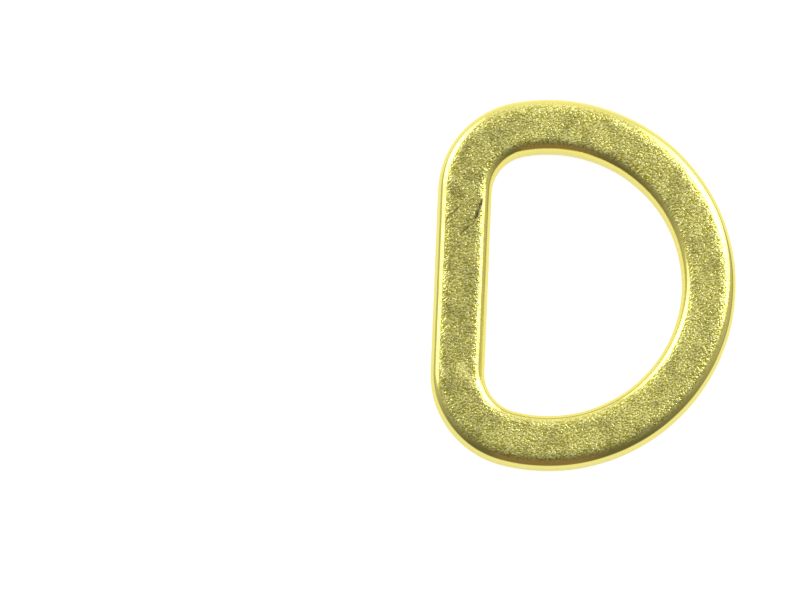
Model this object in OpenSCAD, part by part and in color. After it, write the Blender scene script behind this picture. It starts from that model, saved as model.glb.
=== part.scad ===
// Flat cast D ring: one closed metal band, with a straight bar that takes a strap and a round bow.
// The bar lies along Y on the -X side, and the bow swells towards +X.
// The ring rests flat on z = 0, with the middle of its outline at x = 0 and y = 0.

/* [Opening] */
// Widest strap that fits: the width of the opening, which is the bow's inner diameter
strap_w = 25; // [16:0.5:60]
// Distance from the centre of the bow back to the bar's inner face
bar_setback = 5.6; // [1:0.2:10]
// Radius of the opening's two corners, where the bow runs into the bar
opening_corner_r = 3.7; // [2:0.1:7]

/* [Band] */
// Width of the band, which is the same along the bar and all round the bow
band_w = 5.1; // [3:0.05:10]
// Thickness of the band, from face to face
thickness = 3.5; // [2:0.1:6]
// Radius that rounds the band's four long edges
edge_r = 1.4; // [0.2:0.05:1.65]

/* [Smoothness] */
// Turn between one section of the band and the next, in degrees
section_step = 5; // [3, 4, 5, 6, 9, 10]
// Steps round each rounded edge
edge_steps = 4; // [2:1:6]

/* [Hidden] */

// Least flat width that the rounded edges leave on the faces and up the sides of the band. The bar and
// the corners keep as far from the sizes at which the opening would no longer close.
least_flat = 0.2;
rounding = min(edge_r, (min(thickness, band_w) - least_flat) / 2);

opening_r = strap_w / 2;
setback = min(bar_setback, opening_r - least_flat);
corner_r = min(opening_corner_r, (opening_r + setback) / 2 - least_flat);
// Place of the bow's centre that puts the middle of the outline at x = 0
bow_x = (setback - opening_r) / 2;

// Places of the two corners' centres, seen from the bow's. Each lies a corner's radius off the bar, and
// close enough to the bow's centre for the two arcs to touch.
corner_x = corner_r - setback;
corner_y = sqrt(pow(opening_r - corner_r, 2) - pow(corner_x, 2));
// The bow faces every way up to this angle from +X, on both sides, and the corners face the rest
bow_end = atan2(corner_y, corner_x);

// A section stands at each facing, counted from +X. The first and the last face the bar's way, one at
// each end of the bar, so the bar is the straight stretch between them.
facings = [for (a = [-180 : section_step : 180]) a];

// The centre of the arc that faces the way of angle a
function arc_centre(a) =
    abs(a) <= bow_end
        ? [bow_x, 0]
        : [bow_x + corner_x, sign(a) * corner_y];

// The opening's edge at facing a. The band grows outward from here by the same width everywhere.
function opening_edge(a) =
    let (arc_r = abs(a) <= bow_end ? opening_r : corner_r)
    arc_centre(a) + arc_r * [cos(a), sin(a)];

// The section of the band, a rectangle with four rounded corners, as steps outward from the opening's
// edge and heights. Quarter 0 rounds the outer upper edge, 1 the inner upper edge, 2 the inner lower
// edge and 3 the outer lower edge.
section = [
    for (quarter = [0 : 3])
        let (outer = quarter == 0 || quarter == 3)
        let (upper = quarter < 2)
        let (step = outer ? band_w - rounding : rounding)
        let (height = upper ? thickness - rounding : rounding)
        for (i = [0 : edge_steps])
            let (turn = 90 * (quarter + i / edge_steps))
            [step + rounding * cos(turn), height + rounding * sin(turn)]
];

// The whole ring is one casting, skinned with two triangles between each pair of points on one section
// and the same pair on the next, all the way round and closed on itself.
module d_ring() {
    section_count = len(facings);
    around = len(section);
    points = [
        for (a = facings)
            for (p = section)
                let (place = opening_edge(a) + p.x * [cos(a), sin(a)])
                [place.x, place.y, p.y]
    ];
    triangles = [
        for (i = [0 : section_count - 1])
            for (j = [0 : around - 1])
                let (here = i * around)
                let (next = (i + 1) % section_count * around)
                let (k = (j + 1) % around)
                each [
                    [here + j, here + k, next + k],
                    [here + j, next + k, next + j]
                ]
    ];
    color("#b0a65a")
        polyhedron(points = points, faces = triangles);
}

d_ring();
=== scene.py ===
import math

import bpy
import numpy as np
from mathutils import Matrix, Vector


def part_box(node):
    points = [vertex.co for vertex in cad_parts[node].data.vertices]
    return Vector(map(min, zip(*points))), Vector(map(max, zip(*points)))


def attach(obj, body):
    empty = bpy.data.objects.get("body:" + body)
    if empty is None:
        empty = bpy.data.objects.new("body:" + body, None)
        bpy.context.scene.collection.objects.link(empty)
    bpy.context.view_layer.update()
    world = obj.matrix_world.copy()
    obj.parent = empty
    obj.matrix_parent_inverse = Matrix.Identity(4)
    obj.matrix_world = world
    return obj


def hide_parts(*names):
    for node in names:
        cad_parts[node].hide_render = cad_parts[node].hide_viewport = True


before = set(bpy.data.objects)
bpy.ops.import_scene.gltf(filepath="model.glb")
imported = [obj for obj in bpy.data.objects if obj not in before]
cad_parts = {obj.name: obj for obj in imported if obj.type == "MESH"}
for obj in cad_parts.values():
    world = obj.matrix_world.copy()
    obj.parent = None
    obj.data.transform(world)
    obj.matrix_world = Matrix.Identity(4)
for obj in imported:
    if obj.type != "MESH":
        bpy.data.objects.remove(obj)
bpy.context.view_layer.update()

# The D ring itself. The real one is a single yellow brass casting: a flat band in the form of a D, its four
# long edges rounded and burnished by tumbling, its two faces left with a fine sparkling grain. It lies loose
# on the table.
mm = 0.001

# Its outline and thickness are the solid's. The rest is the band's width, the opening's corners and the
# rounding of the edges, which reaches further across the faces than down the walls.
low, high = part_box("d_ring")
thickness = high.z - low.z
band_w = 5.1 * mm
corner_r = 3.7 * mm
outer_shoulder_w = 1.65 * mm
inner_shoulder_w = 1.34 * mm
shoulder_h = 1.25 * mm
bow_r = high.y - band_w
bow_x = high.x - band_w - bow_r
setback = bow_x - low.x - band_w

# Places of the corners' centres, seen from the bow's, and the facing at which the bow gives way to them
corner_x = corner_r - setback
corner_y = math.sqrt((bow_r - corner_r) ** 2 - corner_x**2)
bow_end = math.atan2(corner_y, corner_x)


def opening_edge(facing):
    """The points of the opening's D that face the way of each angle, counted from +X.

    A point is the centre of an arc plus that arc's radius along the angle: the bow's up to bow_end on
    either side, and a corner's past it. The corners' places make the arcs touch each other and the bar.
    """
    on_bow = np.abs(facing) <= bow_end
    arc_r = np.where(on_bow, bow_r, corner_r)
    centre_x = bow_x + np.where(on_bow, 0, corner_x)
    centre_y = np.where(on_bow, 0, np.sign(facing) * corner_y)
    return np.stack([centre_x + arc_r * np.cos(facing), centre_y + arc_r * np.sin(facing)], 1)


def stations(count):
    """The facing of each section of the band, and how far down the bar it stands, from 0 to 1.

    The sections are evenly spaced along the middle of the band. The facing runs from half a turn below
    +X to half a turn above it, and then stays while the share down the bar grows.
    """
    facing = np.linspace(-np.pi, np.pi, 20 * count)
    out = np.stack([np.cos(facing), np.sin(facing)], 1)
    middle = opening_edge(facing) + out * band_w / 2
    run = np.linalg.norm(np.diff(middle, axis=0), axis=1).cumsum()
    run = np.concatenate([[0], run])
    bar = 2 * corner_y
    at = np.arange(count) / count * (run[-1] + bar)
    return np.interp(at, run, facing), np.clip((at - run[-1]) / bar, 0, 1)


def half_section(wall_steps, shoulder_steps, flat_steps):
    """The upper half of the band's section, from the outer side over the top to the inner side.

    Three rows: the step outward from the opening's edge, the height, and the tilt of the surface from
    level, which is negative where it faces the opening. Each shoulder is a quarter of an ellipse between
    a wall and the flat, shoulder_h high and as wide as its side of the band has it.
    """
    wall = np.linspace(thickness / 2, thickness - shoulder_h, wall_steps + 1)[:-1]
    turn = np.linspace(0, np.pi / 2, shoulder_steps + 1)

    def side(shoulder_w):
        step = np.concatenate([np.zeros_like(wall), shoulder_w * (1 - np.cos(turn))])
        rise = np.concatenate([wall, thickness - shoulder_h * (1 - np.sin(turn))])
        lean = np.arctan2(np.cos(turn) / shoulder_w, np.sin(turn) / shoulder_h)
        return np.stack([step, rise, np.concatenate([np.full_like(wall, np.pi / 2), lean])])

    outer = side(outer_shoulder_w) * [[-1], [1], [1]] + [[band_w], [0], [0]]
    inner = side(inner_shoulder_w)[:, ::-1] * [[1], [1], [-1]]
    flat = np.linspace(band_w - outer_shoulder_w, inner_shoulder_w, flat_steps + 1)[1:-1]
    top = np.stack([flat, np.full_like(flat, thickness), np.zeros_like(flat)])
    return np.concatenate([outer, top, inner], axis=1)


def waves(points, wavelength, count, seed):
    """A rough field over space: the sum of count plane waves of random direction and phase.

    The wavelengths lie within a third of the one given, and the sum has a mean of 0 and a spread of 1.
    """
    draw = np.random.default_rng(seed)
    way = draw.normal(size=(count, 3))
    way /= np.linalg.norm(way, axis=1)[:, None]
    way *= 2 * np.pi / (wavelength * draw.uniform(0.67, 1.33, (count, 1)))
    phase = draw.uniform(0, 2 * np.pi, count)
    return np.cos(points @ way.T + phase).sum(1) * np.sqrt(2 / count)


def fade(value, start, end):
    """0 where value is at start, 1 where it is at end, and an even S curve between the two."""
    share = np.clip((value - start) / (end - start), 0, 1)
    return share * share * (3 - 2 * share)


# The grid: sections round the band by points round each section, the lower half a mirror of the upper
facing, down_bar = stations(730)
upper = half_section(wall_steps=4, shoulder_steps=21, flat_steps=18)
lower = upper[:, -2:0:-1] * [[1], [-1], [1]] + [[0], [thickness], [0]]
step, height, tilt = np.concatenate([upper, lower], axis=1)
upward = np.where(np.arange(len(step)) < upper.shape[1], 1, -1)

out = np.stack([np.cos(facing), np.sin(facing)], 1)
foot = opening_edge(facing)
foot[:, 1] -= down_bar * 2 * corner_y
plan = foot[:, None] + out[:, None] * step[:, None]
points = np.concatenate([plan, np.broadcast_to(low.z + height[:, None], plan.shape[:2] + (1,))], 2)
normals = np.concatenate(
    [
        out[:, None] * np.sin(tilt)[:, None],
        np.broadcast_to((np.cos(tilt) * upward)[:, None], plan.shape[:2] + (1,)),
    ],
    2,
)
grid_shape = points.shape[:2]
points = points.reshape(-1, 3)
normals = normals.reshape(-1, 3)

# How much of the grain's pits and of its colour is left: all of both on the faces, and none where tumbling
# burnished the edges. The borders are ragged, and the colour goes on further than the pits. The walls, which
# tumbling reaches less, stay rougher.
lean = np.abs(np.tile(tilt, grid_shape[0]))
ragged = math.radians(2.5) * waves(points, 0.4 * mm, 48, seed=7)
pitted = 1 - fade(lean + ragged, math.radians(16), math.radians(30))
grain = 1 - fade(lean + ragged, math.radians(18), math.radians(42))
wall = fade(lean, math.radians(62), math.radians(88))

# Marks of use on the upper face, as places from the middle of the ring in millimetres. A spot is a line of
# no length.
marks = {
    "nick": [((-10.02, 7.42), (-10.48, 5.85))],
    "scratch": [
        ((-10.57, 5.50), (-11.96, 4.11)),
        ((-11.88, 6.97), (-13.15, 5.68)),
    ],
    "scuff_and_highlight": [((-11.25, -8.35), (-10.05, -10.05))],
    "smudge": [
        ((7.09, -11.14), (7.09, -11.14)),
        ((-8.60, 14.14), (-8.60, 14.14)),
        ((-9.31, 13.35), (-9.31, 13.35)),
    ],
}


def distance(points, lines):
    """How far each point is in plan from the nearest of the lines, in millimetres.

    The nearest place on a line is the point's shadow on it, kept between its two ends. Points on the lower
    half of the ring count as a long way off.
    """
    long_way = 10.0
    plan = points[:, :2] / mm
    nearest = np.full(len(points), long_way)
    for start, end in np.array(lines):
        along = end - start
        share = (plan - start) @ along / max(along @ along, 1e-9)
        place = start + np.clip(share, 0, 1)[:, None] * along
        nearest = np.minimum(nearest, np.linalg.norm(plan - place, axis=1))
    return np.where(points[:, 2] > low.z + thickness / 2, nearest, long_way)


distances = {name: distance(points, lines) for name, lines in marks.items()}

# Relief: a slow waviness of the whole casting, pits where the grain is, and the nick. It only goes inward,
# so the ring stays inside its own outline.
waviness = 0.005 * mm * waves(points, 5 * mm, 24, seed=3)
pits = 0.004 * mm * pitted * waves(points, 0.35 * mm, 64, seed=5)
nick = -0.04 * mm * (1 - fade(distances["nick"], 0, 0.2))
relief = waviness + pits + nick
points = points + normals * (relief - relief.max())[:, None]

ring_mesh = bpy.data.meshes.new("ring_body")
section, around = np.meshgrid(np.arange(grid_shape[0]), np.arange(grid_shape[1]), indexing="ij")
next_section = (section + 1) % grid_shape[0]
next_around = (around + 1) % grid_shape[1]
corners = np.stack(
    [
        section * grid_shape[1] + around,
        section * grid_shape[1] + next_around,
        next_section * grid_shape[1] + next_around,
        next_section * grid_shape[1] + around,
    ],
    2,
).reshape(-1, 4)
ring_mesh.from_pydata(points, [], corners)
ring_mesh.polygons.foreach_set("use_smooth", np.ones(len(corners), bool))
for name, values in (("grain", grain), ("pitted", pitted), ("wall", wall), *distances.items()):
    ring_mesh.attributes.new(name, "FLOAT", "POINT").data.foreach_set("value", values)
ring_mesh.update()
ring = bpy.data.objects.new("ring_body", ring_mesh)
bpy.context.scene.collection.objects.link(ring)


def linear(hex_colour):
    """A colour written as sRGB hex, as the linear colour that a shader takes."""
    srgb = np.array([int(hex_colour[i : i + 2], 16) for i in (1, 3, 5)]) / 255
    light = np.where(srgb <= 0.04045, srgb / 12.92, ((srgb + 0.055) / 1.055) ** 2.4)
    return (*light, 1.0)


def add(tree, kind, inputs=None, **settings):
    """Adds a node with its settings. Each input is a value, or another node's output to link to it."""
    node = tree.nodes.new(kind)
    for name, value in settings.items():
        setattr(node, name, value)
    for name, value in (inputs or {}).items():
        if isinstance(value, bpy.types.NodeSocket):
            tree.links.new(value, node.inputs[name])
        else:
            node.inputs[name].default_value = value
    return node


def ease(tree, value, start, end):
    """A node's output that is 0 where value is at start, 1 where it is at end, and an even S between."""
    inputs = {"Value": value, "From Min": start, "From Max": end}
    return add(tree, "ShaderNodeMapRange", inputs, interpolation_type="SMOOTHSTEP").outputs["Result"]


def math_node(tree, operation, *values):
    """The output of one sum, product or other operation on values or other nodes' outputs."""
    return add(tree, "ShaderNodeMath", dict(enumerate(values)), operation=operation).outputs["Value"]


def blend(tree, share, first, second):
    """A colour that goes from the first to the second as share goes from 0 to 1."""
    inputs = {"Factor": share, 6: first, 7: second}
    return add(tree, "ShaderNodeMix", inputs, data_type="RGBA").outputs[2]


def tumbled_brass():
    """Yellow brass, cast and tumbled: a sparkling grain on the faces and burnished, mirror-like edges."""
    material = bpy.data.materials.new("cast_and_tumbled_brass")
    material.use_nodes = True
    tree = material.node_tree
    tree.nodes.clear()
    place = add(tree, "ShaderNodeTexCoord").outputs["Object"]

    def attribute(name):
        return add(tree, "ShaderNodeAttribute", attribute_name=name).outputs["Fac"]

    def noise(size, detail, where=place):
        inputs = {"Vector": where, "Scale": 1 / size, "Detail": detail}
        return add(tree, "ShaderNodeTexNoise", inputs).outputs["Fac"]

    grain_left = attribute("grain")
    pitted_left = attribute("pitted")
    # The grain: a speckle of colour, partly real and partly painted light: peaks that tumbling has rubbed
    # pale, painted paler still as glints, and pits painted dark and saturated as shade. It is a little
    # longer one way than across.
    drawn = add(
        tree,
        "ShaderNodeMapping",
        {"Vector": place, "Rotation": (0, 0, math.radians(25)), "Scale": (1.2, 0.9, 1.0)},
        vector_type="TEXTURE",
    ).outputs["Vector"]
    grit = noise(0.175 * mm, 2.0, drawn)
    speck = ease(tree, grit, 0.37, 0.63)
    wear_glints_and_pit_shade = blend(tree, speck, linear("#bdb234"), linear("#fffdaa"))
    colour = blend(tree, grain_left, linear("#e2d87c"), wear_glints_and_pit_shade)
    # Tarnish lies in soft clouds a few millimetres wide. The bar is darkened more than the bow in the same
    # colour, and that part is painted shade for the side of the ring that gets less light.
    along = add(tree, "ShaderNodeSeparateXYZ", {"Vector": place}).outputs["X"]
    cloud = math_node(tree, "MULTIPLY", ease(tree, noise(1.8 * mm, 2.0), 0.42, 0.66), 0.33)
    bar_shade = math_node(tree, "MULTIPLY", ease(tree, along, -4 * mm, -13 * mm), 0.2)
    tarnish_and_bar_shade = math_node(tree, "MULTIPLY", math_node(tree, "ADD", cloud, bar_shade), pitted_left)
    colour = blend(tree, tarnish_and_bar_shade, colour, linear("#6f6a35"))
    # Marks: a dark nick, fine scratches, grey smudges, and a bright scuff that is rougher than the rest. The
    # scuff's brightness is partly rubbed brass and partly a painted highlight.
    breakup = math_node(tree, "MULTIPLY", noise(0.3 * mm, 2.0), 0.3)
    smoothed = 0.0
    for name, paint, reach, most in (
        ("nick", "#3f3e2c", 0.3, 0.9),
        ("scratch", "#55512c", 0.14, 0.8),
        ("smudge", "#66645a", 0.5, 0.4),
    ):
        apart = math_node(tree, "ADD", attribute(name), breakup)
        share = math_node(tree, "MULTIPLY", ease(tree, apart, reach + 0.16, 0.13), most)
        colour = blend(tree, share, colour, linear(paint))
        smoothed = math_node(tree, "MAXIMUM", smoothed, share)
    # The scuff: rubbed brass, painted paler as a highlight as well
    patchy = math_node(tree, "MULTIPLY", noise(0.35 * mm, 2.0), 1.2)
    scuffed_and_highlit = ease(tree, math_node(tree, "ADD", attribute("scuff_and_highlight"), patchy), 1.3, 0.7)
    colour = blend(tree, math_node(tree, "MULTIPLY", scuffed_and_highlit, 0.6), colour, linear("#fff99a"))
    roughness = add(
        tree,
        "ShaderNodeMapRange",
        {"Value": pitted_left, "To Min": 0.1, "To Max": 0.2},
    ).outputs["Result"]
    roughness = math_node(tree, "ADD", roughness, math_node(tree, "MULTIPLY", scuffed_and_highlit, 0.12))
    roughness = math_node(tree, "ADD", roughness, math_node(tree, "MULTIPLY", attribute("wall"), 0.25))
    # The relief of the grain gives out sooner towards the edges than its colour
    deep = ease(tree, pitted_left, 0.45, 0.95)
    strength = math_node(tree, "MULTIPLY", deep, math_node(tree, "SUBTRACT", 1.0, smoothed))
    bump = add(
        tree,
        "ShaderNodeBump",
        {"Height": grit, "Strength": strength, "Distance": 0.093 * mm},
    ).outputs["Normal"]
    surface = add(
        tree,
        "ShaderNodeBsdfPrincipled",
        {
            "Base Color": colour,
            "Metallic": 1.0,
            "Roughness": roughness,
            "Specular Tint": linear("#fffae0"),
            "Normal": bump,
        },
    )
    add(tree, "ShaderNodeOutputMaterial", {"Surface": surface.outputs["BSDF"]})
    return material


ring_mesh.materials.append(tumbled_brass())
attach(ring, "root")
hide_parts("d_ring")

# The table that the ring lies on: a sheet of white acrylic that glows as if a soft light were under it, so
# that it shows as plain white and the ring casts hardly any shadow. Its glow is partly painted light: it
# gives out beyond the sheet's edges, it is made stronger as a pool of light around the ring and behind it,
# and a painted shadow takes it away under the ring's rounded edge, so the brass picks up dark lines from
# there.
floor_half = 2.0
floor_mesh = bpy.data.meshes.new("table")
floor_mesh.from_pydata(
    [(x * floor_half, y * floor_half, low.z) for x, y in ((-1, -1), (1, -1), (1, 1), (-1, 1))],
    [],
    [(0, 1, 2, 3)],
)
floor = bpy.data.objects.new("table", floor_mesh)
bpy.context.scene.collection.objects.link(floor)


def lit_acrylic():
    """White acrylic made to glow: matt, and a plain even white as far as its glow reaches, with painted
    light and shadow in the glow.
    """
    material = bpy.data.materials.new("lit_white_acrylic")
    material.use_nodes = True
    tree = material.node_tree
    tree.nodes.clear()
    place = add(tree, "ShaderNodeTexCoord").outputs["Object"]
    # Painted light: the glow is made strongest under and around the ring and behind it, as a pool of light
    # on the sheet, and gives out to the left, the right and the front
    reach = add(tree, "ShaderNodeVectorMath", {0: place}, operation="LENGTH").outputs["Value"]
    painted_pool_near_ring = math_node(tree, "MULTIPLY", ease(tree, reach, 38 * mm, 20 * mm), 0.12)
    axes = add(tree, "ShaderNodeSeparateXYZ", {"Vector": place})
    painted_light_behind = math_node(tree, "MULTIPLY", ease(tree, axes.outputs["Y"], 0, 30 * mm), 0.08)
    glow = math_node(tree, "ADD", math_node(tree, "ADD", painted_pool_near_ring, painted_light_behind), 0.8)
    for axis, dark, bright in (("X", -76, -55), ("X", 47, 21), ("Y", -54, -28)):
        share = ease(tree, axes.outputs[axis], dark * mm, bright * mm)
        glow = math_node(tree, "MULTIPLY", glow, share)
    # Painted shadow: an occlusion mask takes the glow away under the overhang of the ring's edge, as a
    # contact shadow
    contact_shadow_ao = add(tree, "ShaderNodeAmbientOcclusion", {"Distance": 2 * mm}, samples=12).outputs["AO"]
    glow = math_node(tree, "MULTIPLY", glow, ease(tree, contact_shadow_ao, 0.2, 0.4))
    surface = add(
        tree,
        "ShaderNodeBsdfPrincipled",
        {
            "Base Color": linear("#909090"),
            "Roughness": 0.9,
            "Specular IOR Level": 0.1,
            "Emission Color": linear("#ffffff"),
            "Emission Strength": glow,
        },
    )
    add(tree, "ShaderNodeOutputMaterial", {"Surface": surface.outputs["BSDF"]})
    return material


floor_mesh.materials.append(lit_acrylic())

# The room that lights the ring: light behind it, dim overhead and in front, with a brown cupboard in the
# middle of the front. Two tall soft windows stand to the left and right, turned a little towards the front.
world = bpy.data.worlds.new("room")
world.use_nodes = True
room = world.node_tree
room.nodes.clear()
way = add(room, "ShaderNodeTexCoord").outputs["Generated"]
way_axes = add(room, "ShaderNodeSeparateXYZ", {"Vector": way})

# The walls and ceiling: how far towards the back, from -1 to 1, and the colour there
walls = (
    (-0.74, "#6d6b69"),
    (-0.62, "#807d7b"),
    (-0.45, "#8f8e8c"),
    (-0.10, "#bfbebc"),
    (0.25, "#c9c8c5"),
    (0.50, "#cac9c7"),
    (0.70, "#d6d5d3"),
    (0.82, "#eeedeb"),
    (0.92, "#fffefc"),
)
from_front = add(
    room, "ShaderNodeMapRange", {"Value": way_axes.outputs["Y"], "From Min": -1.0, "From Max": 1.0}
).outputs["Result"]
ramp = add(room, "ShaderNodeValToRGB", {"Fac": from_front})
while len(ramp.color_ramp.elements) < len(walls):
    ramp.color_ramp.elements.new(1.0)
for stop, (towards_back, colour) in zip(ramp.color_ramp.elements, walls):
    stop.position = (towards_back + 1) / 2
    stop.color = linear(colour)
light = ramp.outputs["Color"]

cupboard = ease(room, math_node(room, "ABSOLUTE", way_axes.outputs["X"]), 0.42, 0.24)
cupboard = math_node(room, "MULTIPLY", cupboard, ease(room, way_axes.outputs["Y"], -0.62, -0.84))
light = blend(room, cupboard, light, linear("#8d7a70"))

# A window is a part of an upright plane that faces the ring from the bearing given, counted from +X towards
# the back for the right window and from -X for the left one. Places on it are shares of its distance: the
# places across it where its light starts, is full, starts to fall and ends, from the front to the back, and
# the same from the table up. Its lower edge climbs towards the front, and its upper edge drops towards the
# back. The side is 1 for the right window and -1 for the left one.
bearing = math.radians(22)
window_light = 4.2
windows = (
    (1, (-0.62, 0.18, 0.44, 1.00), (-0.10, 0.42, 1.05, 1.5), 1.4, 1.1),
    (-1, (-0.50, 0.16, 0.26, 0.88), (0.0, 0.32, 0.56, 0.93), 0.5, 0.4),
)
for side, across, up, climb, drop in windows:
    facing_way = (side * math.cos(bearing), math.sin(bearing), 0)
    along_way = (-side * math.sin(bearing), math.cos(bearing), 0)
    ahead, aside = (
        add(room, "ShaderNodeVectorMath", {0: way, 1: axis}, operation="DOT_PRODUCT").outputs["Value"]
        for axis in (facing_way, along_way)
    )
    aside = math_node(room, "DIVIDE", aside, ahead)
    height = math_node(room, "DIVIDE", way_axes.outputs["Z"], ahead)
    to_front = math_node(room, "MAXIMUM", math_node(room, "SUBTRACT", across[1], aside), 0.0)
    over_edge = math_node(room, "SUBTRACT", height, math_node(room, "MULTIPLY", to_front, climb))
    to_back = math_node(room, "MAXIMUM", math_node(room, "SUBTRACT", aside, across[2]), 0.0)
    under_edge = math_node(room, "ADD", height, math_node(room, "MULTIPLY", to_back, drop))
    share = math_node(room, "GREATER_THAN", ahead, 0.0)
    for value, none, most in (
        (aside, across[0], across[1]),
        (aside, across[3], across[2]),
        (over_edge, up[0], up[1]),
        (under_edge, up[3], up[2]),
    ):
        inputs = {"Value": value, "From Min": none, "From Max": most}
        edge = add(room, "ShaderNodeMapRange", inputs).outputs["Result"]
        share = math_node(room, "MULTIPLY", share, edge)
    bright = math_node(room, "MULTIPLY", share, window_light)
    glow = add(room, "ShaderNodeCombineXYZ", {"X": bright, "Y": bright, "Z": bright}).outputs["Vector"]
    light = add(room, "ShaderNodeVectorMath", {0: light, 1: glow}, operation="ADD").outputs["Vector"]
background = add(room, "ShaderNodeBackground", {"Color": light, "Strength": 1.15})
add(room, "ShaderNodeOutputWorld", {"Surface": background.outputs["Background"]})
bpy.context.scene.world = world
bpy.context.scene.view_settings.view_transform = "Standard"

# The camera looks down through a long lens from in front of the ring, a few degrees off the vertical. It is
# turned a little, so that the bar leans to the right, and the ring lies in the right half of the picture.
camera_data = bpy.data.cameras.new("camera")
camera_data.sensor_width = 36
camera_data.lens = 600
camera_data.clip_start = 0.01
camera_data.clip_end = 10
camera = bpy.data.objects.new("camera", camera_data)
picture_w = 74.94 * mm
off_vertical = math.radians(10)
turned = math.radians(2.34)
aim = (-17.247 * mm, -2.283 * mm, thickness / 2)
stand_off = picture_w * camera_data.lens / camera_data.sensor_width
camera.location = (
    aim[0] + stand_off * math.sin(off_vertical) * math.sin(turned),
    aim[1] - stand_off * math.sin(off_vertical) * math.cos(turned),
    aim[2] + stand_off * math.cos(off_vertical),
)
camera.rotation_euler = (off_vertical, 0, turned)
bpy.context.scene.collection.objects.link(camera)
bpy.context.scene.camera = camera
